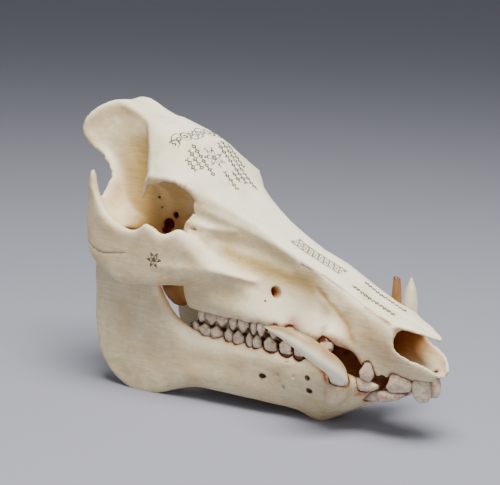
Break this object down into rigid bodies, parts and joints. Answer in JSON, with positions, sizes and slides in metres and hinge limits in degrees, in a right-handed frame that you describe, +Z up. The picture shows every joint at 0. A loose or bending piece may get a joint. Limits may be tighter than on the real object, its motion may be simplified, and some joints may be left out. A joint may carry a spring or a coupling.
{
  "type": "wild boar skull",
  "caption": "Dried boar skull with its lower jaw, teeth and tusks, standing on the edge of the jaw, long snout forward, high crest at the back.",
  "frame": {"origin": "centre of the bounding box in X and Y, on the surface that the lower jaw rests on", "axes": "+X towards the snout, +Y to the animal's left, +Z up"},
  "size_m": [0.3196, 0.1294, 0.2122],
  "materials": {
    "bone": "dry degreased bone, matt with a faint sheen",
    "tooth": "stained enamel",
    "tusk": "cream ivory, satin",
    "stained_tusk": "brown stained ivory, satin"
  },
  "bodies": {
    "root": {"cranium": "bone", "mandible": "bone", "upper_incisor_1_left": "tooth", "upper_incisor_1_right": "tooth", "upper_incisor_2_left": "tooth", "upper_incisor_2_right": "tooth", "upper_incisor_3_left": "tooth", "upper_incisor_3_right": "tooth", "upper_canine_left": "stained_tusk", "upper_canine_stump_right": "tooth", "upper_premolar_1_left": "tooth", "upper_premolar_1_right": "tooth", "upper_premolar_2_left": "tooth", "upper_premolar_2_right": "tooth", "upper_premolar_3_left": "tooth", "upper_premolar_3_right": "tooth", "upper_premolar_4_left": "tooth", "upper_premolar_4_right": "tooth", "upper_molar_1_left": "tooth", "upper_molar_1_right": "tooth", "upper_molar_2_left": "tooth", "upper_molar_2_right": "tooth", "upper_molar_3_left": "tooth", "upper_molar_3_right": "tooth", "lower_incisor_1_left": "tooth", "lower_incisor_1_right": "tooth", "lower_incisor_2_left": "tooth", "lower_incisor_2_right": "tooth", "lower_incisor_3_left": "tooth", "lower_incisor_3_right": "tooth", "lower_tusk_left": "tusk", "lower_tusk_right": "tusk", "lower_premolar_2_left": "tooth", "lower_premolar_2_right": "tooth", "lower_premolar_3_left": "tooth", "lower_premolar_3_right": "tooth", "lower_premolar_4_left": "tooth", "lower_premolar_4_right": "tooth", "lower_molar_1_left": "tooth", "lower_molar_1_right": "tooth", "lower_molar_2_left": "tooth", "lower_molar_2_right": "tooth", "lower_molar_3_left": "tooth", "lower_molar_3_right": "tooth"}
  },
  "joints": []
}
